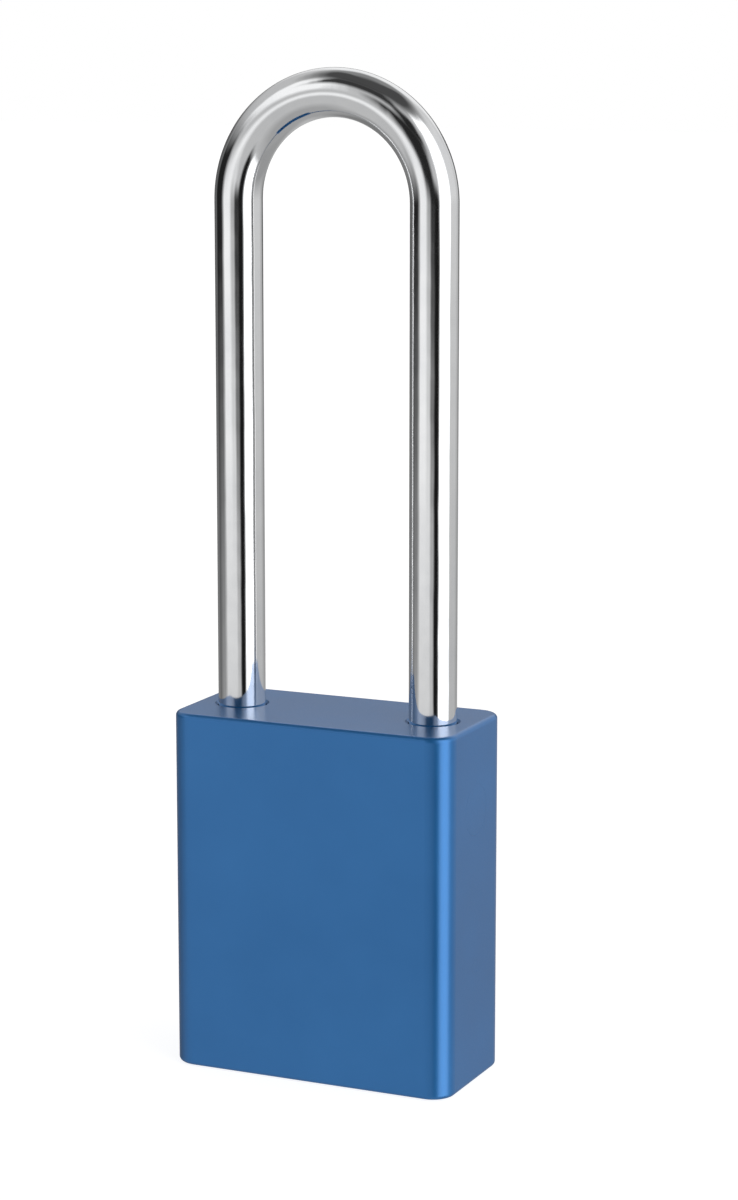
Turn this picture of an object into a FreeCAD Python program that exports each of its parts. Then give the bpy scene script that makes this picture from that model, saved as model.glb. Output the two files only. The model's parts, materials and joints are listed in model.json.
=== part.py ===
import FreeCAD, Part
import math
import os
import re
import Sketcher

# A key-operated padlock with a solid aluminium body and a long steel shackle, closed, with its
# plug turned to the open position.  +Z is up and the origin is the middle of the body's flat
# bottom, where the keyway opens.  +X is the toe side, -X the heel side, -Y the front face.
# Two balls in a cross bore lock both shackle legs.  A cam, turned by the plug, holds them out.
# All lengths are in millimetres.

sizes = {
    # shackle
    "rod_diameter": 6.0,
    "shackle_clearance": 73.8,   # body top to the inside of the crown
    "tip_chamfer": 0.8,
    "toe_below_ball": 5.0,       # toe that reaches below the middle of its notch
    "toe_open_gap": 1.5,         # toe tip above the body when the shackle is up
    "heel_below_groove": 5.2,
    "flat_depth": 0.55,          # relief that the drawn-in ball runs along
    # locking balls and cam
    "ball_diameter": 6.35,
    "ball_bite": 1.2,            # how far a ball enters the leg when locked
    "ball_travel": 0.8,
    "ball_gap": 0.05,            # ball to cam
    "notch_gap": 0.125,          # ball to the notch in the leg
    "channel_gap": 0.075,        # ball to its cross bore
    "cam_radius": 5.0,
    "cam_gap": 0.1,              # cam to its bore, and cam to plug end
    "cam_half_height": 3.6,
    "hub_height": 5.1,
    "cam_cap": 1.2,
    "cam_headroom": 0.2,
    # body
    "leg_wall": 2.85,            # metal outside each leg
    "side_wall": 1.7,            # metal in front of and behind the cylinder
    "roof": 5.7,                 # metal above the cam
    "corner_radius": 3.0,
    "edge_radius": 0.6,
    "mouth_chamfer": 0.3,
    "leg_gap": 0.15,             # leg to its bore
    "bore_depth_gap": 0.5,       # toe tip to the end of its bore
    # key cylinder
    "face_recess": 0.3,
    "shell_radius": 7.5,
    "shell_gap": 0.1,
    "bible_width": 7.0,
    "plug_radius": 5.5,
    "plug_gap": 0.05,
    "flange_step": 0.6,
    "flange_height": 1.2,
    "pin_pitch": 3.8,
    "first_pin": 5.2,            # cylinder face to the first pin
    "rear_land": 3.8,            # last pin to the end of the shell
    "pin_radius": 1.4,
    "pin_gap": 0.05,
    "driver_length": 4.0,
    "driver_neck": 0.35,         # how deep the security drivers are waisted
    "driver_collar": 0.9,
    "pin_spring_length": 3.0,
    "cap_length": 1.0,
    "mouth_depth": 1.4,          # empty chamber outside each cap
    "key_chamber_depth": 8.2,
    "key_tip_length": 0.9,
    "key_tip_radius": 0.5,
    "key_top_gap": 0.02,         # key pin's top edge to the plug's round
    "key_pin_one": 6.9,
    "key_pin_two": 5.9,
    "key_pin_three": 6.4,
    "key_pin_four": 5.1,
    "key_pin_five": 5.6,
    "keyway_step": 1.6,          # width of each of the keyway's staggered slots
    "keyway_stagger": 0.3,
    "keyway_top": 1.9,
    "clip_thickness": 0.8,
    "clip_groove_depth": 0.8,
    "clip_overhang": 1.1,
    "clip_opening": 4.5,
    "clip_gap": 0.1,
    "rear_lip": 0.8,
    "tail_width": 7.0,
    "tail_thickness": 1.8,
    "tail_root": 3.0,
    "tail_reach": 2.8,
    "tail_gap": 0.1,
    "press_gap": 0.01,
    "retaining_pin_radius": 0.9,
    "retaining_slot_depth": 1.2,
    "cross_plug_length": 2.5,
    # springs
    "wire_diameter": 0.7,
    "spring_turns": 8,
    "spring_closed_length": 7.6,
    "spring_seat_gap": 0.1,
    "spring_gap": 0.25,          # coil to bore
    "pin_wire": 0.25,
    "pin_spring_turns": 6,
}

# What follows from those sizes.  x places are distances from the middle of the body.
places = {
    "rod_radius": "rod_diameter / 2",
    "ball_radius": "ball_diameter / 2",
    "leg_half": "cam_radius + ball_gap + ball_diameter - ball_bite + rod_radius",
    "leg_bore": "rod_radius + leg_gap",
    "half_width": "leg_half + rod_radius + leg_wall",
    "half_depth": "shell_radius + side_wall",
    "pins_length": "pin_pitch * 4",
    "shell_length": "first_pin + pins_length + rear_land",
    "shell_top": "face_recess + shell_length",
    "clip_bottom": "shell_top + clip_gap",
    "clip_radius": "plug_radius + clip_overhang",
    "groove_radius": "plug_radius - clip_groove_depth",
    "plug_top": "clip_bottom + clip_thickness + clip_gap + rear_lip",
    "clip_room_top": "plug_top + clip_gap * 4",
    "cam_bottom": "plug_top + cam_gap",
    "ball_level": "cam_bottom + hub_height + cam_half_height",
    "cam_top": "ball_level + cam_half_height + cam_cap",
    "cam_room_top": "cam_top + cam_headroom",
    "body_height": "cam_room_top + roof",
    "ball_locked": "leg_half - rod_radius + ball_bite - ball_radius",
    "ball_free": "ball_locked - ball_travel",
    "channel_radius": "ball_radius + channel_gap",
    "notch_radius": "ball_radius + notch_gap",
    "flat_at": "leg_half - rod_radius + flat_depth",
    "toe_tip": "ball_level - toe_below_ball",
    "toe_bore_bottom": "toe_tip - bore_depth_gap",
    "lift": "body_height - toe_tip + toe_open_gap",
    "ring_level": "ball_level - lift",
    "heel_tip": "ring_level - heel_below_groove",
    "heel_bore_bottom": "heel_tip - spring_closed_length - spring_seat_gap * 2",
    "crown_centre": "body_height + shackle_clearance - leg_half + rod_radius",
    "chamber_radius": "pin_radius + pin_gap",
    "driver_at": "plug_radius + plug_gap + press_gap",
    "spring_at": "driver_at + driver_length + press_gap",
    "cap_at": "spring_at + pin_spring_length",
    "bible_end": "cap_at + cap_length + mouth_depth",
    "bible_centre": "bible_end - bible_width / 2",
    "first_pin_level": "face_recess + first_pin",
    "retaining_level": "first_pin_level + pin_pitch * 2.5",
    "key_top": "sqrt(plug_radius ^ 2 - pin_radius ^ 2) - key_top_gap",
    "keyway_length": "shell_top - face_recess - tail_root + clip_gap",
}

doc = FreeCAD.newDocument("padlock")


def make_sheet(name, cells):
    sheet = doc.addObject("Spreadsheet::Sheet", name)
    for row, (alias, value) in enumerate(cells.items(), 1):
        sheet.set(f"A{row}", alias)
        sheet.set(f"B{row}", str(value))
        sheet.setAlias(f"B{row}", alias)
    doc.recompute()
    return sheet


def qualified(text):
    """Writes each size or place in an expression with the name of the sheet that holds it."""
    def owner(word):
        name = word.group(0)
        sheet = "sizes" if name in sizes else "places" if name in places else None
        return f"{sheet}.{name}" if sheet else name
    return re.sub(r"[a-z_]+", owner, str(text))


def bind(feature, **properties):
    for name, text in properties.items():
        feature.setExpression(name.replace("__", "."), qualified(text))


size_sheet = make_sheet("sizes", sizes)
place_sheet = make_sheet("places", {name: "=" + qualified(text) for name, text in places.items()})


def value(name):
    return float(getattr(size_sheet if name in sizes else place_sheet, name))


# ---- Part primitives whose sizes and places follow the sheets ----

along_x = FreeCAD.Rotation(FreeCAD.Vector(0, 1, 0), 90)
along_y = FreeCAD.Rotation(FreeCAD.Vector(1, 0, 0), -90)
along_z = FreeCAD.Rotation()


def primitive(kind, name, at=("0", "0", "0"), turn=along_z, **properties):
    feature = doc.addObject("Part::" + kind, name)
    feature.Placement = FreeCAD.Placement(FreeCAD.Vector(), turn)
    bind(feature, Placement__Base__x=at[0], Placement__Base__y=at[1], Placement__Base__z=at[2], **properties)
    return feature


def cylinder(name, radius, height, at=("0", "0", "0"), turn=along_z):
    return primitive("Cylinder", name, at, turn, Radius=radius, Height=height)


def cone(name, radius_one, radius_two, height, at=("0", "0", "0"), turn=along_z):
    return primitive("Cone", name, at, turn, Radius1=radius_one, Radius2=radius_two, Height=height)


def box(name, x, y, z):
    """A box between two expressions on each axis."""
    return primitive("Box", name, (x[0], y[0], z[0]), along_z, Length=f"({x[1]}) - ({x[0]})",
                     Width=f"({y[1]}) - ({y[0]})", Height=f"({z[1]}) - ({z[0]})")


def fuse(name, features):
    feature = doc.addObject("Part::MultiFuse", name)
    feature.Shapes = features
    feature.Refine = True
    return feature


def cut(name, base, tools):
    feature = doc.addObject("Part::Cut", name)
    feature.Base = base
    feature.Tool = tools[0] if len(tools) == 1 else fuse(name + "_tools", tools)
    feature.Refine = True
    return feature


# ---- PartDesign bodies ----

def new_body(name):
    body = doc.addObject("PartDesign::Body", name)
    doc.recompute()
    return body


def new_sketch(body, name, plane, offset):
    """A sketch on one of the body's own origin planes, moved along that plane's normal."""
    sketch = body.newObject("Sketcher::SketchObject", name)
    support = [part for part in body.Origin.OriginFeatures if part.Role == plane][0]
    sketch.AttachmentSupport = (support, [""])
    sketch.MapMode = "FlatFace"
    bind(sketch, AttachmentOffset__Base__z=offset)
    return sketch


def constrain(sketch, name, kind, first, second, text):
    """Holds point second at a distance from point first, which may be negative in the expression."""
    if text.startswith("-"):
        first, second, text = second, first, text[1:]
    index = sketch.addConstraint(Sketcher.Constraint(kind, *first, *second, 1.0))
    sketch.renameConstraint(index, name)
    bind(sketch, **{"Constraints__" + name: text})


def circle_sketch(body, name, plane, offset, radius, middle=("0", "0")):
    sketch = new_sketch(body, name, plane, offset)
    guess = [1.0 if not text.startswith("-") else -1.0 for text in middle]
    circle = sketch.addGeometry(Part.Circle(FreeCAD.Vector(*guess, 0), FreeCAD.Vector(0, 0, 1), 1.0))
    index = sketch.addConstraint(Sketcher.Constraint("Radius", circle, 1.0))
    sketch.renameConstraint(index, "radius")
    bind(sketch, Constraints__radius=radius)
    if middle == ("0", "0"):
        sketch.addConstraint(Sketcher.Constraint("Coincident", circle, 3, -1, 1))
        return sketch
    for axis, (kind, text) in zip("uv", (("DistanceX", middle[0]), ("DistanceY", middle[1]))):
        if text == "0":
            line = -2 if kind == "DistanceX" else -1
            sketch.addConstraint(Sketcher.Constraint("PointOnObject", circle, 3, line))
        else:
            constrain(sketch, axis, kind, (-1, 1), (circle, 3), text)
    return sketch


def rectangle_sketch(body, name, plane, offset, u, v):
    """A rectangle between two expressions on each axis of the plane."""
    sketch = new_sketch(body, name, plane, offset)
    low = FreeCAD.Vector(*[-1.0 if pair[0].startswith("-") else 0.5 for pair in (u, v)], 0)
    high = FreeCAD.Vector(*[-0.5 if pair[1].startswith("-") else 2.0 for pair in (u, v)], 0)
    corners = [low, FreeCAD.Vector(high.x, low.y, 0), high, FreeCAD.Vector(low.x, high.y, 0)]
    for index in range(4):
        sketch.addGeometry(Part.LineSegment(corners[index], corners[(index + 1) % 4]))
    for index in range(4):
        sketch.addConstraint(Sketcher.Constraint("Coincident", index, 2, (index + 1) % 4, 1))
    for index, kind in enumerate(("Horizontal", "Vertical", "Horizontal", "Vertical")):
        sketch.addConstraint(Sketcher.Constraint(kind, index))
    sides = (("left", "DistanceX", u[0], (0, 1)), ("right", "DistanceX", u[1], (1, 2)),
             ("bottom", "DistanceY", v[0], (0, 1)), ("top", "DistanceY", v[1], (1, 2)))
    for label, kind, text, point in sides:
        if text == "0":
            line = -2 if kind == "DistanceX" else -1
            sketch.addConstraint(Sketcher.Constraint("PointOnObject", *point, line))
        else:
            constrain(sketch, label, kind, (-1, 1), point, text)
    return sketch


def pad(body, sketch, length):
    feature = body.newObject("PartDesign::Pad", sketch.Name + "_pad")
    feature.Profile = sketch
    bind(feature, Length=length)
    sketch.Visibility = False
    doc.recompute()
    return feature


def pocket(body, sketch, length, forward=False):
    """Cuts against the sketch's normal, or along it, and makes sure that metal was removed."""
    before = body.Shape.Volume
    feature = body.newObject("PartDesign::Pocket", sketch.Name + "_pocket")
    feature.Profile = sketch
    feature.Reversed = forward
    bind(feature, Length=length)
    doc.recompute()
    if body.Shape.Volume > before - 1e-3:
        raise RuntimeError(f"{feature.Name} cuts nothing")
    return feature


def row_along_z(body, feature, length):
    """Repeats a pocket once for each pin, upwards."""
    pattern = body.newObject("PartDesign::LinearPattern", feature.Name + "_row")
    pattern.Originals = [feature]
    axis = [part for part in body.Origin.OriginFeatures if part.Role == "Z_Axis"][0]
    pattern.Direction = (axis, [""])
    bind(pattern, Length=length)
    pattern.Occurrences = len(key_pins)
    body.Tip = pattern
    doc.recompute()
    return pattern


def dress(body, kind, base, edges, **properties):
    feature = body.newObject("PartDesign::" + kind, f"{base.Name}_{kind.lower()}")
    feature.Base = (base, edges)
    bind(feature, **properties)
    doc.recompute()
    return feature


def edges_where(shape, test):
    return [f"Edge{n}" for n, edge in enumerate(shape.Edges, 1) if test(edge)]


def flat_at(edge, level):
    return abs(edge.BoundBox.ZMin - level) < 1e-6 and abs(edge.BoundBox.ZMax - level) < 1e-6


key_pins = ("key_pin_one", "key_pin_two", "key_pin_three", "key_pin_four", "key_pin_five")
numbered = list(enumerate(key_pins, 1))
quarter_turn = FreeCAD.Placement(FreeCAD.Vector(), FreeCAD.Rotation(FreeCAD.Vector(0, 0, 1), 90))
nodes = {}


def keep(label, feature, placement=None):
    """Names a finished piece.  Pieces that turn with the plug stand a quarter turn from locked."""
    if placement:
        feature.Placement = placement
    feature.Label = label
    nodes[label] = feature
    return feature


def pin_level(number):
    return f"first_pin_level + pin_pitch * {number - 1}"


# ---- body ----

def make_lock_body():
    body = new_body("body")
    outline = rectangle_sketch(body, "outline", "XY_Plane", "0", ("-half_width", "half_width"),
                               ("-half_depth", "half_depth"))
    block = pad(body, outline, "body_height")
    upright = edges_where(block.Shape, lambda edge: edge.BoundBox.ZLength > 1)
    corners = dress(body, "Fillet", block, upright, Radius="corner_radius")
    height = value("body_height")
    rims = edges_where(corners.Shape, lambda edge: flat_at(edge, 0) or flat_at(edge, height))
    dress(body, "Fillet", corners, rims, Radius="edge_radius")
    # the shaped cavity for the key cylinder, from below
    shell = circle_sketch(body, "shell_cavity", "XY_Plane", "0", "shell_radius + shell_gap")
    pocket(body, shell, "shell_top + shell_gap", forward=True)
    neck = rectangle_sketch(body, "bible_cavity", "XY_Plane", "0", ("0", "bible_centre"),
                            ("-(bible_width / 2 + shell_gap)", "bible_width / 2 + shell_gap"))
    pocket(body, neck, "shell_top + shell_gap", forward=True)
    end = circle_sketch(body, "bible_end_cavity", "XY_Plane", "0", "bible_width / 2 + shell_gap",
                        ("bible_centre", "0"))
    pocket(body, end, "shell_top + shell_gap", forward=True)
    # stepped room above it for the clip and the cam
    clip_room = circle_sketch(body, "clip_room", "XY_Plane", "0", "clip_radius + shell_gap * 3")
    pocket(body, clip_room, "clip_room_top", forward=True)
    cam_room = circle_sketch(body, "cam_room", "XY_Plane", "0", "cam_radius + cam_gap")
    pocket(body, cam_room, "cam_room_top", forward=True)
    # leg bores from the top
    for side, bottom in (("", "toe_bore_bottom"), ("-", "heel_bore_bottom")):
        name = "heel_bore" if side else "toe_bore"
        bore = circle_sketch(body, name, "XY_Plane", "body_height", "leg_bore", (side + "leg_half", "0"))
        drilled = pocket(body, bore, f"body_height - {bottom}")
    mouths = edges_where(drilled.Shape, lambda edge: flat_at(edge, height) and edge.Closed)
    dress(body, "Chamfer", drilled, mouths, Size="mouth_chamfer")
    # cross bore for the balls, drilled from the toe side
    channel = circle_sketch(body, "ball_channel", "YZ_Plane", "half_width", "channel_radius",
                            ("0", "ball_level"))
    pocket(body, channel, "leg_half + half_width")
    pin_hole = circle_sketch(body, "retaining_hole", "YZ_Plane", "half_width",
                             "retaining_pin_radius + press_gap", ("0", "retaining_level"))
    pocket(body, pin_hole, "half_width - bible_centre")
    keep("lock_body", body)


def make_body_pins():
    keep("cross_bore_plug", cylinder("cross_plug", "channel_radius - press_gap", "cross_plug_length",
                                     ("half_width - cross_plug_length", "0", "ball_level"), along_x))
    keep("cylinder_retaining_pin", cylinder("retaining_pin", "retaining_pin_radius",
         "half_width - bible_end + retaining_slot_depth - plug_gap * 3",
         ("bible_end - retaining_slot_depth + plug_gap * 3", "0", "retaining_level"), along_x))


# ---- shackle ----

def make_shackle():
    pieces = []
    for side, tip in (("", "toe_tip"), ("-", "heel_tip")):
        name = "heel" if side else "toe"
        at = side + "leg_half"
        pieces.append(cylinder(name + "_leg", "rod_radius", f"crown_centre - {tip} - tip_chamfer",
                               (at, "0", f"{tip} + tip_chamfer")))
        pieces.append(cone(name + "_end", "rod_radius - tip_chamfer", "rod_radius", "tip_chamfer",
                           (at, "0", tip)))
    crown = primitive("Torus", "crown", ("0", "0", "crown_centre"), along_y,
                      Radius1="leg_half", Radius2="rod_radius")
    crown.Angle3 = 180
    crown.Placement = FreeCAD.Placement(crown.Placement.Base, FreeCAD.Rotation(FreeCAD.Vector(1, 0, 0), 90))
    rod = fuse("bent_rod", pieces + [crown])
    # a scallop across the inside of each leg, where the locked ball sits
    cuts = [cylinder(name, "notch_radius", "rod_diameter * 2", (at, "-rod_diameter", "ball_level"), along_y)
            for name, at in (("toe_notch", "ball_locked"), ("heel_notch", "-ball_locked"))]
    # flats that the drawn-in balls run along as the shackle rises
    across = ("-rod_diameter", "rod_diameter")
    cuts.append(box("toe_flat", ("flat_at - rod_radius", "flat_at"), across,
                    ("toe_tip - rod_radius", "ball_level")))
    cuts.append(box("heel_flat", ("-flat_at", "rod_radius - flat_at"), across, ("ring_level", "ball_level")))
    # a groove round the heel, where its ball keeps the raised shackle and lets it turn
    cuts.append(primitive("Torus", "heel_ring", ("-leg_half", "0", "ring_level"), along_z,
                          Radius1="leg_half - ball_locked", Radius2="notch_radius"))
    keep("shackle", cut("shackle", rod, cuts))


def make_spring(name, wire, radius, turns, length):
    """A closed coil of round wire that stands on z = 0 and is length high."""
    line = doc.addObject("Part::Helix", name + "_line")
    bind(line, Radius=radius, Pitch=f"(({length}) - ({wire})) / ({turns})", Height=f"({length}) - ({wire})")
    section = doc.addObject("Part::Circle", name + "_section")
    section.Placement = FreeCAD.Placement(FreeCAD.Vector(), along_y)
    bind(section, Radius=f"({wire}) / 2", Placement__Base__x=radius)
    coil = doc.addObject("Part::Sweep", name)
    coil.Sections = [section]
    coil.Spine = (line, ["Edge1"])
    coil.Solid = True
    coil.Frenet = True
    return coil


def make_shackle_spring():
    coil = make_spring("heel_coil", "wire_diameter", "rod_radius - spring_gap - wire_diameter / 2",
                       "spring_turns", "spring_closed_length")
    keep("shackle_spring", coil)
    bind(coil, Placement__Base__x="-leg_half",
         Placement__Base__z="heel_bore_bottom + spring_seat_gap + wire_diameter / 2")


# ---- balls and cam ----

def make_balls():
    for label, at in (("toe_ball", "ball_free"), ("heel_ball", "-ball_free")):
        keep(label, primitive("Sphere", label, (at, "0", "ball_level"), Radius="ball_radius"))


def polar(radius, degrees):
    return FreeCAD.Rotation(FreeCAD.Vector(0, 0, 1), degrees).multVec(FreeCAD.Vector(radius, 0, 0))


def cam_outline():
    """Two lobes.  Each rises evenly over a quarter turn, dwells, and falls along the ball's own round."""
    high = value("cam_radius")
    low = high - value("ball_travel")
    middle = value("ball_free")
    seat = middle - low
    reach = (high ** 2 + middle ** 2 - seat ** 2) / (2 * high * middle)
    fall = math.degrees(math.acos(reach))
    # the fall is part of a circle round the drawn-in ball's middle, on the -X side
    fall_start = polar(high, 180 - fall)
    fall_slope = math.degrees(math.asin(fall_start.y / seat))
    fall_middle = polar(seat, fall_slope / 2) - FreeCAD.Vector(middle, 0, 0)
    arcs = []
    for turn in (0, 180):
        lobe = FreeCAD.Rotation(FreeCAD.Vector(0, 0, 1), turn)
        rise = [polar(low, 0), polar((low + high) / 2, 45), polar(high, 90)]
        dwell = [polar(high, 90), polar(high, 135 - fall / 2), fall_start]
        drop = [fall_start, fall_middle, polar(low, 180)]
        for points in (rise, dwell, drop):
            arcs.append(Part.Arc(*[lobe.multVec(point) for point in points]).toShape())
    return Part.Wire(arcs)


def make_actuator():
    # the cam's rise is not a curve that a sketch can hold, so its solid is made directly
    lobes = doc.addObject("Part::Feature", "cam_lobes")
    lobes.Shape = Part.Face(cam_outline()).extrude(FreeCAD.Vector(0, 0, 2 * value("cam_half_height")))
    lobes.Placement = FreeCAD.Placement(FreeCAD.Vector(0, 0, value("ball_level") - value("cam_half_height")),
                                        FreeCAD.Rotation())
    hub = cylinder("cam_hub", "cam_radius", "hub_height", ("0", "0", "cam_bottom"))
    cap = cylinder("cam_cap_disc", "cam_radius", "cam_cap", ("0", "0", "cam_top - cam_cap"))
    slot = box("cam_slot", ("-(tail_width / 2 + tail_gap * 2)", "tail_width / 2 + tail_gap * 2"),
               ("-(tail_thickness / 2 + tail_gap)", "tail_thickness / 2 + tail_gap"),
               ("cam_bottom - rear_lip", "cam_bottom + tail_reach"))
    keep("actuator", cut("actuator", fuse("cam_blank", [hub, lobes, cap]), [slot]))


# ---- key cylinder ----

def make_shell():
    body = new_body("shell")
    barrel = circle_sketch(body, "barrel", "XY_Plane", "face_recess", "shell_radius")
    pad(body, barrel, "shell_length")
    neck = rectangle_sketch(body, "bible", "XY_Plane", "face_recess", ("0", "bible_centre"),
                            ("-bible_width / 2", "bible_width / 2"))
    pad(body, neck, "shell_length")
    end = circle_sketch(body, "bible_round", "XY_Plane", "face_recess", "bible_width / 2",
                        ("bible_centre", "0"))
    pad(body, end, "shell_length")
    bore = circle_sketch(body, "plug_bore", "XY_Plane", "0", "plug_radius + plug_gap")
    pocket(body, bore, "shell_top + shell_gap", forward=True)
    seat = circle_sketch(body, "flange_seat", "XY_Plane", "0", "plug_radius + flange_step + shell_gap")
    pocket(body, seat, "face_recess + flange_height + plug_gap", forward=True)
    slot = rectangle_sketch(body, "retaining_slot", "YZ_Plane", "bible_end",
                            ("-bible_width", "bible_width"),
                            ("retaining_level - retaining_pin_radius - plug_gap",
                             "retaining_level + retaining_pin_radius + plug_gap"))
    pocket(body, slot, "retaining_slot_depth")
    chamber = circle_sketch(body, "chamber", "YZ_Plane", "bible_end", "chamber_radius",
                            ("0", "first_pin_level"))
    row_along_z(body, pocket(body, chamber, "bible_end"), "pins_length")
    keep("cylinder_shell", body)


def make_plug():
    body = new_body("plug")
    core = circle_sketch(body, "core", "XY_Plane", "face_recess", "plug_radius")
    pad(body, core, "plug_top - face_recess")
    flange = circle_sketch(body, "flange", "XY_Plane", "face_recess", "plug_radius + flange_step")
    pad(body, flange, "flange_height")
    # clip groove: a ring cut round the rear end
    ring = circle_sketch(body, "clip_groove", "XY_Plane", "clip_bottom - clip_gap / 2",
                         "plug_radius + flange_step")
    inner = ring.addGeometry(Part.Circle(FreeCAD.Vector(), FreeCAD.Vector(0, 0, 1), 0.5))
    ring.addConstraint(Sketcher.Constraint("Coincident", inner, 3, -1, 1))
    index = ring.addConstraint(Sketcher.Constraint("Radius", inner, 0.5))
    ring.renameConstraint(index, "inner")
    bind(ring, Constraints__inner="groove_radius")
    pocket(body, ring, "clip_thickness + clip_gap", forward=True)
    slot = rectangle_sketch(body, "tail_slot", "XY_Plane", "plug_top",
                            ("-tail_thickness / 2", "tail_thickness / 2"),
                            ("-tail_width / 2", "tail_width / 2"))
    pocket(body, slot, "tail_root")
    # keyway: three staggered slots, open along the side away from the pins
    reach = "(plug_radius + keyway_top)"
    steps = (("low", "plug_radius + flange_step", f"plug_radius - {reach} * 0.38", 1),
             ("middle", f"plug_radius - {reach} * 0.30", f"plug_radius - {reach} * 0.70", -1),
             ("high", f"plug_radius - {reach} * 0.62", "-keyway_top", 1))
    for name, start, finish, side in steps:
        lean = "-" if side < 0 else ""
        low = f"-(keyway_step / 2 {'+' if side > 0 else '-'} keyway_stagger)"
        high = f"keyway_step / 2 {'-' if side > 0 else '+'} keyway_stagger"
        edge = finish[1:] if finish.startswith("-") else f"-({finish})"
        way = rectangle_sketch(body, name + "_keyway", "XY_Plane", "0", (f"-({start})", edge), (low, high))
        pocket(body, way, "face_recess + keyway_length", forward=True)
    chamber = circle_sketch(body, "key_chamber", "YZ_Plane", "plug_radius", "chamber_radius",
                            ("0", "first_pin_level"))
    row_along_z(body, pocket(body, chamber, "key_chamber_depth"), "pins_length")
    keep("cylinder_plug", body, quarter_turn)


def make_plug_fittings():
    level = ("0", "0", "clip_bottom")
    disc = cylinder("clip_disc", "clip_radius", "clip_thickness", level)
    hole = cylinder("clip_hole", "groove_radius + plug_gap", "clip_thickness", level)
    mouth = box("clip_mouth", ("0", "clip_radius * 2"), ("-clip_opening / 2", "clip_opening / 2"),
                ("clip_bottom", "clip_bottom + clip_thickness"))
    keep("plug_clip", cut("clip_ring", disc, [hole, mouth]), quarter_turn)
    # the tail is drawn as it stands, its width along X
    keep("plug_tail", box("tail_blade", ("-tail_width / 2 + press_gap", "tail_width / 2 - press_gap"),
                          ("-tail_thickness / 2 + press_gap", "tail_thickness / 2 - press_gap"),
                          ("plug_top - tail_root", "cam_bottom + tail_reach - tail_gap * 3")))


def driver_shape(number, level):
    """A plain driver at each end of the row.  The middle ones are waisted, against picking."""
    at = ("driver_at", "0", level)
    if number in (1, len(key_pins)):
        return cylinder(f"driver_{number}", "pin_radius", "driver_length", at, along_x)
    waist = cylinder(f"waist_{number}", "pin_radius - driver_neck", "driver_length", at, along_x)
    inner = cylinder(f"inner_collar_{number}", "pin_radius", "driver_collar", at, along_x)
    outer = cylinder(f"outer_collar_{number}", "pin_radius", "driver_collar",
                     ("driver_at + driver_length - driver_collar", "0", level), along_x)
    return fuse(f"driver_{number}", [waist, inner, outer])


def make_pins():
    for number, length in numbered:
        level = pin_level(number)
        tip = cone(f"key_tip_{number}", "key_tip_radius", "pin_radius", "key_tip_length",
                   (f"key_top - {length}", "0", level), along_x)
        shank = cylinder(f"key_shank_{number}", "pin_radius", f"{length} - key_tip_length",
                         (f"key_top - {length} + key_tip_length", "0", level), along_x)
        keep(f"key_pin_{number}", fuse(f"key_pin_{number}", [tip, shank]), quarter_turn)
        driver = driver_shape(number, level)
        keep(f"driver_pin_{number}", driver)
        coil = make_spring(f"pin_coil_{number}", "pin_wire", "pin_radius - pin_wire / 2", "pin_spring_turns",
                           "pin_spring_length - press_gap * 4")
        keep(f"pin_spring_{number}", coil)
        coil.Placement = FreeCAD.Placement(FreeCAD.Vector(), along_x)
        bind(coil, Placement__Base__x="spring_at + press_gap * 2 + pin_wire / 2", Placement__Base__z=level)


def make_caps():
    caps = [cylinder(f"cap_{number}", "chamber_radius - press_gap", "cap_length",
                     ("cap_at", "0", pin_level(number)), along_x) for number, _ in numbered]
    group = doc.addObject("Part::Compound", "caps")
    group.Links = caps
    keep("chamber_caps", group)


for step in (make_lock_body, make_body_pins, make_shackle, make_shackle_spring, make_balls, make_actuator,
             make_shell, make_plug, make_plug_fittings, make_pins, make_caps):
    step()
doc.recompute()

for feature in doc.Objects:
    if {"Invalid", "Error"} & set(feature.State):
        raise RuntimeError(f"{feature.Name} failed: {feature.State}")
os.makedirs("parts", exist_ok=True)
for label, feature in nodes.items():
    shape = feature.Shape
    if shape.isNull() or not shape.isValid() or not shape.Solids:
        raise RuntimeError(f"{label} has no valid solid")
    shape.exportStep(f"parts/{label}.step")
    print(f"{label:24s} {len(shape.Solids)} solids  {shape.Volume:9.2f} mm3")
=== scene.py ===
import bpy
import json
import math
import numpy as np
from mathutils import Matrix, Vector


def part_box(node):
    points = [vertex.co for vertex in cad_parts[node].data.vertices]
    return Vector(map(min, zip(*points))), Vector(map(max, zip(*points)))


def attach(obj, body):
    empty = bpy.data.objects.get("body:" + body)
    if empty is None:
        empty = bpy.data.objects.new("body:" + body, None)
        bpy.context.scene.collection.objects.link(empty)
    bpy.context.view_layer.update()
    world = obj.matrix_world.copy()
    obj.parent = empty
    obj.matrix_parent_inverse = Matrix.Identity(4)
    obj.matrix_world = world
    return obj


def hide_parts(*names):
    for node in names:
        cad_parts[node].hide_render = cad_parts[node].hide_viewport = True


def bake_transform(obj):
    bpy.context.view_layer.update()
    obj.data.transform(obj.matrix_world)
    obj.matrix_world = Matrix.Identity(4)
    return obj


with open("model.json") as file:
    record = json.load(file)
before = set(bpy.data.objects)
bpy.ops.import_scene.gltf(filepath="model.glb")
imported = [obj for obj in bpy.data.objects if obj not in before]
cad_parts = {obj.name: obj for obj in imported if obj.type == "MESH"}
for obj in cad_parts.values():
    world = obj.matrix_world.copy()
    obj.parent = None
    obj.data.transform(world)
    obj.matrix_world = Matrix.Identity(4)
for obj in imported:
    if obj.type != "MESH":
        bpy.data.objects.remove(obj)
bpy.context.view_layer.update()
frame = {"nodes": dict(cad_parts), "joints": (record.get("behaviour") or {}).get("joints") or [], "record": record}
print("frame loaded:", len(frame["nodes"]), "nodes")


# shader helpers

def newMaterial(name):
    material = bpy.data.materials.new(name)
    material.use_nodes = True
    nodes = material.node_tree.nodes
    return material, nodes, material.node_tree.links, nodes["Principled BSDF"]


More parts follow.
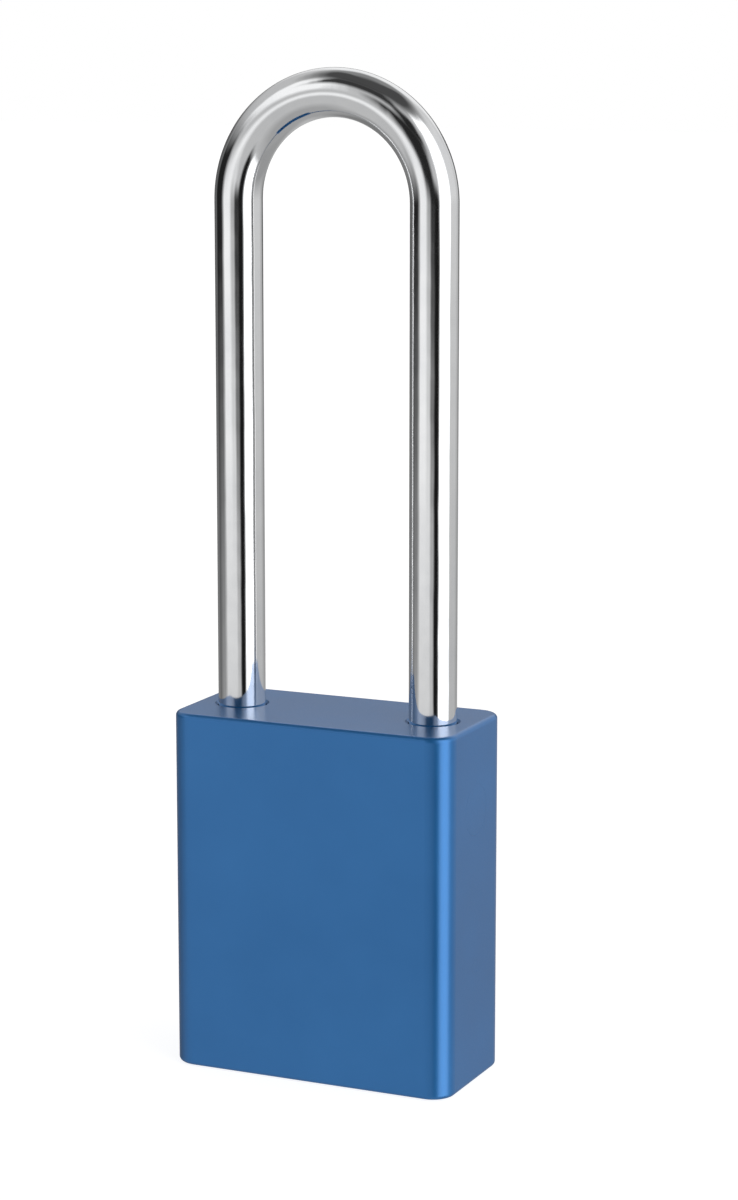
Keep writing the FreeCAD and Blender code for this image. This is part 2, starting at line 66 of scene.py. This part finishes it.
def objectPoint(nodes, links, scale, turn=(0, 0, 0)):
    # the piece's own place in metres, times scale on each axis
    coords = nodes.new("ShaderNodeTexCoord")
    mapping = nodes.new("ShaderNodeMapping")
    mapping.inputs["Scale"].default_value = scale
    mapping.inputs["Rotation"].default_value = turn
    links.new(coords.outputs["Object"], mapping.inputs["Vector"])
    return mapping.outputs["Vector"]


def noise(nodes, links, vector, scale, detail=3.0, roughness=0.5):
    texture = nodes.new("ShaderNodeTexNoise")
    texture.inputs["Scale"].default_value = scale
    texture.inputs["Detail"].default_value = detail
    texture.inputs["Roughness"].default_value = roughness
    links.new(vector, texture.inputs["Vector"])
    return texture.outputs["Fac"]


def remap(nodes, links, value, low, high, toLow, toHigh):
    # a straight line from low..high to toLow..toHigh, clamped
    node = nodes.new("ShaderNodeMapRange")
    for name, number in zip(("From Min", "From Max", "To Min", "To Max"), (low, high, toLow, toHigh)):
        node.inputs[name].default_value = number
    links.new(value, node.inputs["Value"])
    return node.outputs["Result"]


def calculate(nodes, links, operation, *values):
    node = nodes.new("ShaderNodeMath")
    node.operation = operation
    for socket, value in zip(node.inputs, values):
        if isinstance(value, bpy.types.NodeSocket):
            links.new(value, socket)
        else:
            socket.default_value = value
    return node.outputs[0]


def mixColor(nodes, links, factor, first, second):
    node = nodes.new("ShaderNodeMix")
    node.data_type = "RGBA"
    links.new(factor, node.inputs["Factor"])
    for socket, color in ((node.inputs[6], first), (node.inputs[7], second)):
        if isinstance(color, bpy.types.NodeSocket):
            links.new(color, socket)
        else:
            socket.default_value = (*color, 1)
    return node.outputs[2]


def bump(nodes, links, shader, height, distance, strength=1.0):
    node = nodes.new("ShaderNodeBump")
    node.inputs["Strength"].default_value = strength
    node.inputs["Distance"].default_value = distance
    links.new(height, node.inputs["Height"])
    links.new(node.outputs["Normal"], shader.inputs["Normal"])


# materials

def wireRadius(nodes, links, point, axes):
    # distance from an axis through the origin: the root of the sum of two squared coordinates
    split = nodes.new("ShaderNodeSeparateXYZ")
    links.new(point, split.inputs[0])
    squares = [calculate(nodes, links, "POWER", split.outputs[axis], 2.0) for axis in axes]
    return calculate(nodes, links, "SQRT", calculate(nodes, links, "ADD", *squares))


def anodisedBlue():
    # satin dyed metal under a clear seal: fine grain in the gloss, slow clouds in the colour
    material, nodes, links, shader = newMaterial("anodisedBlue")
    point = objectPoint(nodes, links, (1, 1, 1))
    brushed = noise(nodes, links, objectPoint(nodes, links, (1, 1, 0.06)), 5200, 2)
    grain = noise(nodes, links, point, 9000, 2)
    cloud = noise(nodes, links, point, 70, 3)
    tone = remap(nodes, links, cloud, 0.3, 0.7, 0, 1)
    color = mixColor(nodes, links, tone, (0.012, 0.164, 0.462), (0.018, 0.188, 0.512))
    fleck = remap(nodes, links, grain, 0.66, 0.8, 0, 0.35)
    links.new(mixColor(nodes, links, fleck, color, (0.05, 0.27, 0.6)), shader.inputs["Base Color"])
    shader.inputs["Metallic"].default_value = 0.66
    rough = calculate(nodes, links, "ADD", remap(nodes, links, grain, 0.3, 0.7, 0.35, 0.42),
                      remap(nodes, links, cloud, 0.3, 0.7, -0.02, 0.03))
    links.new(rough, shader.inputs["Roughness"])
    shader.inputs["Coat Weight"].default_value = 0.75
    shader.inputs["Coat Roughness"].default_value = 0.26
    height = calculate(nodes, links, "ADD", grain, calculate(nodes, links, "MULTIPLY", brushed, 0.6))
    bump(nodes, links, shader, height, 0.000004)
    return material


def brightChrome():
    # polished plate: a faint long waviness, and hazier patches where it is handled
    material, nodes, links, shader = newMaterial("brightChrome")
    point = objectPoint(nodes, links, (1, 1, 1))
    wave = noise(nodes, links, objectPoint(nodes, links, (1, 1, 0.35)), 260, 2)
    haze = noise(nodes, links, point, 160, 4, 0.6)
    tone = remap(nodes, links, haze, 0.3, 0.75, 0, 1)
    links.new(mixColor(nodes, links, tone, (0.88, 0.885, 0.89), (0.80, 0.81, 0.825)), shader.inputs["Base Color"])
    shader.inputs["Metallic"].default_value = 1.0
    links.new(remap(nodes, links, haze, 0.35, 0.75, 0.06, 0.13), shader.inputs["Roughness"])
    bump(nodes, links, shader, wave, 0.00006)
    return material


def workedMetal(name, dark, light, gloss, grainScale, depth, stretch=(1, 1, 1), lathe=None):
    # two noises: a coarse one drives the colour from dark to light, a fine one the gloss and the bump.
    # lathe adds turning rings: height = sine of the distance from that axis over the ring spacing
    material, nodes, links, shader = newMaterial(name)
    point = objectPoint(nodes, links, (1, 1, 1))
    coarse = noise(nodes, links, point, grainScale / 12, 4, 0.6)
    fine = noise(nodes, links, objectPoint(nodes, links, stretch), grainScale, 3)
    tone = remap(nodes, links, coarse, 0.3, 0.7, 0, 1)
    links.new(mixColor(nodes, links, tone, dark, light), shader.inputs["Base Color"])
    shader.inputs["Metallic"].default_value = 1.0
    links.new(remap(nodes, links, fine, 0.3, 0.7, *gloss), shader.inputs["Roughness"])
    height = fine
    if lathe:
        axes, spacing = lathe
        turns = calculate(nodes, links, "MULTIPLY", wireRadius(nodes, links, point, axes), 2 * math.pi / spacing)
        rings = calculate(nodes, links, "MULTIPLY", calculate(nodes, links, "SINE", turns), 0.35)
        height = calculate(nodes, links, "ADD", fine, rings)
    bump(nodes, links, shader, height, depth)
    return material


materials = {
    "blue_anodised": anodisedBlue(),
    "bright_chrome": brightChrome(),
    "ball_steel": workedMetal("ballSteel", (0.66, 0.66, 0.68), (0.76, 0.76, 0.78), (0.08, 0.16), 4000, 0.000001),
    "sintered_steel": workedMetal("sinteredSteel", (0.26, 0.25, 0.24), (0.46, 0.45, 0.44), (0.4, 0.6), 7000, 0.00002),
    "spring_steel": workedMetal("springSteel", (0.45, 0.44, 0.42), (0.66, 0.65, 0.62), (0.2, 0.34), 6000, 0.000004,
                                (1, 1, 0.2)),
    "brass": workedMetal("brass", (0.60, 0.42, 0.16), (0.78, 0.58, 0.26), (0.22, 0.38), 5000, 0.000005,
                         lathe=((0, 1), 0.00022)),
    "pin_nickel": workedMetal("pinNickel", (0.52, 0.48, 0.38), (0.68, 0.64, 0.54), (0.2, 0.32), 6000, 0.000004),
}


# shackle

# lengths in metres; the levels of its ends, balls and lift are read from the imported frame
shackle = {
    "rod": 0.003,           # radius
    "chamfer": 0.0008,
    "flat": 0.00055,        # depth of the flats that the balls run along
    "notch": 0.0033,        # radius of the notches and of the heel's ring groove
    "bite": 0.0012,         # how far a locked ball enters the leg
    "toeBelow": 0.005,      # toe tip below the middle of its notch
    "around": 96,
    "archSteps": 90,
    "fine": 0.00016,        # spacing of the rings through the notches
    "coarse": 0.003,
}


def legRadius(level, turn, tip, ball, ring):
    # the rod's round, cut back by planes and a torus: a plane at distance d from the axis gives d / cos(turn)
    rod, notch = shackle["rod"], shackle["notch"]
    centre = rod + ballRadius - shackle["bite"]
    facing = np.where(np.cos(turn) > 0.05, np.cos(turn), np.nan)
    flat = np.where((level >= max(tip, ring)) & (level <= ball), rod - shackle["flat"], np.inf)
    scoop = centre - np.sqrt(np.clip(notch ** 2 - (level - ball) ** 2, 0, None))
    scoop = np.where(np.abs(level - ball) < notch, scoop, np.inf)
    groove = centre - np.sqrt(np.clip(notch ** 2 - (level - ring) ** 2, 0, None))
    groove = np.where(np.abs(level - ring) < notch, groove, np.inf)
    end = rod - np.clip(tip + shackle["chamfer"] - level, 0, None)
    return np.fmin(np.minimum(np.minimum(rod, groove), end), np.minimum(flat, scoop) / facing)


def legLevels(tip, ball, ring, top):
    # heights of the rings: close together through the cuts and at the chamfer, wide apart elsewhere
    fine, notch = shackle["fine"], shackle["notch"]
    levels = [np.array([tip, tip + shackle["chamfer"], max(tip, ring) + 1e-6, max(tip, ring) - 1e-6, ball])]
    for middle in (ball, ring):
        levels.append(np.arange(middle - notch - fine, middle + notch + fine, fine))
    levels.append(np.arange(tip, top, shackle["coarse"]))
    levels = np.unique(np.round(np.concatenate(levels), 7))
    return levels[(levels >= tip) & (levels < top)]


def gridMesh(name, points):
    # a closed tube from rows of points, with a middle point on each end
    rows, around = points.shape[:2]
    ends = np.array([points[0].mean(0), points[-1].mean(0)])
    vertices = np.concatenate([points.reshape(-1, 3), ends])
    index = np.arange(rows * around).reshape(rows, around)
    low, high = index[:-1], index[1:]
    quads = np.stack([low, np.roll(low, -1, 1), np.roll(high, -1, 1), high], -1).reshape(-1, 4)
    first, last = index[0], index[-1]
    caps = np.concatenate([
        np.stack([np.roll(first, -1), first, np.full(around, rows * around)], -1),
        np.stack([last, np.roll(last, -1), np.full(around, rows * around + 1)], -1),
    ])
    mesh = bpy.data.meshes.new(name)
    mesh.from_pydata(vertices.tolist(), [], quads.tolist() + caps.tolist())
    return mesh


def addPiece(name, mesh, replaced):
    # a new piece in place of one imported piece, with that piece's finish
    slot = slotOf[replaced]
    mesh.materials.append(materials[slot])
    mesh.shade_smooth()
    mesh.set_sharp_from_angle(angle=math.radians(35))
    piece = bpy.data.objects.new(name, mesh)
    bpy.context.scene.collection.objects.link(piece)
    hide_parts(replaced)
    return piece


def makeShackle():
    # rings of radius legRadius round a path up the toe leg, over a half circle and down the heel leg
    low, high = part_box("shackle")
    reach = (high.x - low.x) / 2 - shackle["rod"]
    top = high.z - shackle["rod"] - reach
    lift = [joint for joint in frame["joints"] if joint["name"] == "shackle_lift"][0]["range_m"][1]
    turn = np.linspace(0, 2 * math.pi, shackle["around"], endpoint=False)[None, :]
    rings = []
    for side, tip, ring in ((1, ballLevel - shackle["toeBelow"], -1.0), (-1, low.z, ballLevel - lift)):
        level = legLevels(tip, ballLevel, ring, top)[:, None]
        radius = legRadius(level, turn, tip, ballLevel, ring)
        across = side * (reach - radius * np.cos(turn))
        leg = np.stack([across, radius * np.sin(turn) * np.ones_like(level), level + 0 * turn], -1)
        rings.append(leg if side > 0 else leg[::-1])
    bend = np.linspace(0, math.pi, shackle["archSteps"] + 1)[:, None]
    out = reach - shackle["rod"] * np.cos(turn)
    depth = shackle["rod"] * np.sin(turn) + 0 * bend
    arch = np.stack([out * np.cos(bend), depth, top + out * np.sin(bend)], -1)
    points = np.concatenate([rings[0], arch, rings[1]])
    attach(addPiece("shackleRod", gridMesh("shackleRod", points), "shackle"), "shackle")


# springs

springs = {
    "around": 12,           # points round the wire
    "perTurn": 28,          # rings in one turn
    "heel": {"wire": 0.0007, "turns": 8},
    "pin": {"wire": 0.00025, "turns": 6},
}


def makeSpring(name, node, kind, axis, fixedEnd):
    # a tube of wire round a helix: centre = start + axis * height * t + radius * (cos, sin)(turns * t),
    # and each ring lies across the helix.
    wire, turns = springs[kind]["wire"] / 2, springs[kind]["turns"]
    low, high = (np.array(corner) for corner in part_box(node))
    along, across = np.eye(3)[axis], np.roll(np.eye(3), -axis - 1, 0)
    middle = (low + high) / 2
    start = middle + along * (low - middle + wire)
    height = (high - low)[axis] - 2 * wire
    radius = (high - low)[(axis + 1) % 3] / 2 - wire
    t = np.linspace(0, 1, turns * springs["perTurn"] + 1)[:, None]
    angle = 2 * math.pi * turns * t
    outward = np.cos(angle) * across[0] + np.sin(angle) * across[1]
    sideways = np.cos(angle) * across[1] - np.sin(angle) * across[0]
    centre = start + along * height * t + radius * outward
    tangent = along * height + 2 * math.pi * turns * radius * sideways
    tangent = tangent / np.linalg.norm(tangent, axis=1, keepdims=True)
    binormal = np.cross(outward, tangent)
    turn = np.linspace(0, 2 * math.pi, springs["around"], endpoint=False)[None, :, None]
    points = centre[:, None] + wire * (np.cos(turn) * outward[:, None] + np.sin(turn) * binormal[:, None])
    piece = addPiece(name, gridMesh(name, points), node)
    ends = [start - along * wire, start + along * (height + wire)]
    if fixedEnd == "high":
        ends.reverse()
    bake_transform(piece)


ballLow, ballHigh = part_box("toe_ball")
ballRadius = (ballHigh.z - ballLow.z) / 2
ballLevel = (ballHigh.z + ballLow.z) / 2
slotOf = {row["node"]: row["material_slot"] for row in frame["record"]["subparts"]}
for name, node in frame["nodes"].items():
    node.data.materials.clear()
    node.data.materials.append(materials[slotOf[name]])
print("materials:", len(materials))
makeShackle()
makeSpring("heelSpring", "shackle_spring", "heel", 2, "low")
for number in range(1, 6):
    makeSpring(f"pinSpring{number}", f"pin_spring_{number}", "pin", 0, "high")
print("shackle and springs made")


# studio

studio = {
    "lens": 97.1,
    "sensor": 36.0,
    "look": (0.00451, 0.0, 0.06037),
    "distance": 0.4015,
    "azimuth": 24.55,
    "elevation": 10.36,
}


def directionFrom(azimuth, elevation):
    # unit vector from the object towards a viewer: azimuth 0 stands in front, on -Y
    a, e = math.radians(azimuth), math.radians(elevation)
    return Vector((math.sin(a) * math.cos(e), -math.cos(a) * math.cos(e), math.sin(e)))


def addCamera():
    data = bpy.data.cameras.new("camera")
    data.lens = studio["lens"]
    data.sensor_width = studio["sensor"]
    camera = bpy.data.objects.new("camera", data)
    bpy.context.scene.collection.objects.link(camera)
    back = directionFrom(studio["azimuth"], studio["elevation"])
    camera.location = Vector(studio["look"]) + back * studio["distance"]
    camera.rotation_mode = "QUATERNION"
    camera.rotation_quaternion = (-back).to_track_quat("-Z", "Y")
    data.clip_start, data.clip_end = 0.01, 20
    bpy.context.scene.camera = camera


def addLamp(name, azimuth, elevation, distance, size, power):
    data = bpy.data.lights.new(name, "AREA")
    data.shape = "RECTANGLE"
    data.size, data.size_y = size
    data.energy = power
    lamp = bpy.data.objects.new(name, data)
    bpy.context.scene.collection.objects.link(lamp)
    toward = directionFrom(azimuth, elevation)
    lamp.location = Vector((0, 0, 0.06)) + toward * distance
    lamp.rotation_mode = "QUATERNION"
    lamp.rotation_quaternion = toward.to_track_quat("Z", "Y")
    return lamp


# What the bright metal reflects: tone is the plain surround, and each card is a soft-edged patch of
# sky at (azimuth, elevation), so wide, so high, with its own brightness.  Later cards cover earlier ones.
surround = {
    "tone": 0.56,
    "cards": {
        "ground": (0, -90, 200, 38, 20, 0.4),
        "backWall": (138, -28, 48, 34, 26, 0.36),
        "backLeft": (-118, -18, 34, 34, 26, 0.22),
        "backGlow": (-170, 28, 30, 28, 20, 0.95),
        "backDark": (-150, 4, 42, 12, 8, 0.12),
        "rightFill": (120, 20, 34, 30, 24, 0.75),
        "rightSoftbox": (75, 8, 25, 45, 10, 2.15),
        "leftSoftbox": (-47, 36, 22, 21, 10, 1.05),
        "leftLow": (-20, -5, 28, 6, 8, 0.98),
        "ceiling": (0, 90, 200, 34, 18, 0.07),
        "backTop": (-168, 64, 36, 12, 14, 0.26),
        "topFlag": (-15, 52, 32, 12, 12, 0.04),
        "leftFlag": (-79, 3, 24, 14, 14, 0.015),
        "frontLow": (35, -16, 11, 18, 8, 0.01),
        "frontMiddle": (23, -1, 17, 6, 8, 0.01),
        "frontHigh": (7, 13, 20, 17, 12, 0.02),
        "shoulder": (20, 34, 14, 11, 10, 0.02),
    },
}


def cardMask(nodes, links, azimuth, elevation, card):
    # 1 inside the card and 0 outside, from how far the direction is past its edge on each axis
    middle, height, halfWide, halfHigh, soft, _ = card
    aside = calculate(nodes, links, "SUBTRACT", azimuth, middle)
    aside = calculate(nodes, links, "WRAP", aside, 180.0, -180.0)
    above = calculate(nodes, links, "SUBTRACT", elevation, height)
    masks = []
    for offset, half in ((aside, halfWide), (above, halfHigh)):
        distance = calculate(nodes, links, "ABSOLUTE", offset)
        masks.append(remap(nodes, links, distance, half - soft / 2, half + soft / 2, 1, 0))
    return calculate(nodes, links, "MULTIPLY", *masks)


def addWorld():
    world = bpy.data.worlds.new("studioWorld")
    world.use_nodes = True
    nodes, links = world.node_tree.nodes, world.node_tree.links
    background = nodes["Background"]
    direction = nodes.new("ShaderNodeTexCoord").outputs["Generated"]
    split = nodes.new("ShaderNodeSeparateXYZ")
    links.new(direction, split.inputs[0])
    x, y, z = split.outputs
    azimuth = calculate(nodes, links, "ARCTAN2", x, calculate(nodes, links, "MULTIPLY", y, -1.0))
    azimuth = calculate(nodes, links, "DEGREES", azimuth)
    elevation = calculate(nodes, links, "DEGREES", calculate(nodes, links, "ARCSINE", z))
    tone = surround["tone"]
    shade = (tone,) * 3
    for card in surround["cards"].values():
        mask = cardMask(nodes, links, azimuth, elevation, card)
        shade = mixColor(nodes, links, mask, shade, (card[-1],) * 3)
    rays = nodes.new("ShaderNodeLightPath")
    seen = mixColor(nodes, links, rays.outputs["Is Camera Ray"], shade, (1, 1, 1))
    links.new(seen, background.inputs["Color"])
    bpy.context.scene.world = world


def addFloor():
    # pale paper: its own light and a share of what falls on it, so a soft shadow stays.  From below it is clear.
    half, under = 3.0, -0.00008
    corners = [(-half, -half, under), (half, -half, under), (half, half, under), (-half, half, under)]
    mesh = bpy.data.meshes.new("floor")
    mesh.from_pydata(corners, [], [(0, 1, 2, 3)])
    floor = bpy.data.objects.new("floor", mesh)
    bpy.context.scene.collection.objects.link(floor)
    material, nodes, links, shader = newMaterial("floorPaper")
    shader.inputs["Base Color"].default_value = (0.4, 0.4, 0.4, 1)
    shader.inputs["Roughness"].default_value = 1.0
    shader.inputs["Specular IOR Level"].default_value = 0.0
    shader.inputs["Emission Color"].default_value = (1, 1, 1, 1)
    shader.inputs["Emission Strength"].default_value = 0.86
    clear = nodes.new("ShaderNodeBsdfTransparent")
    facing = nodes.new("ShaderNodeNewGeometry")
    mix = nodes.new("ShaderNodeMixShader")
    links.new(facing.outputs["Backfacing"], mix.inputs["Fac"])
    links.new(shader.outputs[0], mix.inputs[1])
    links.new(clear.outputs[0], mix.inputs[2])
    links.new(mix.outputs[0], nodes["Material Output"].inputs["Surface"])
    mesh.materials.append(material)
    material.cycles.emission_sampling = "NONE"
    floor.visible_glossy = False


addCamera()
addWorld()
addFloor()
bpy.context.scene.view_settings.view_transform = "Standard"
print("studio ready")
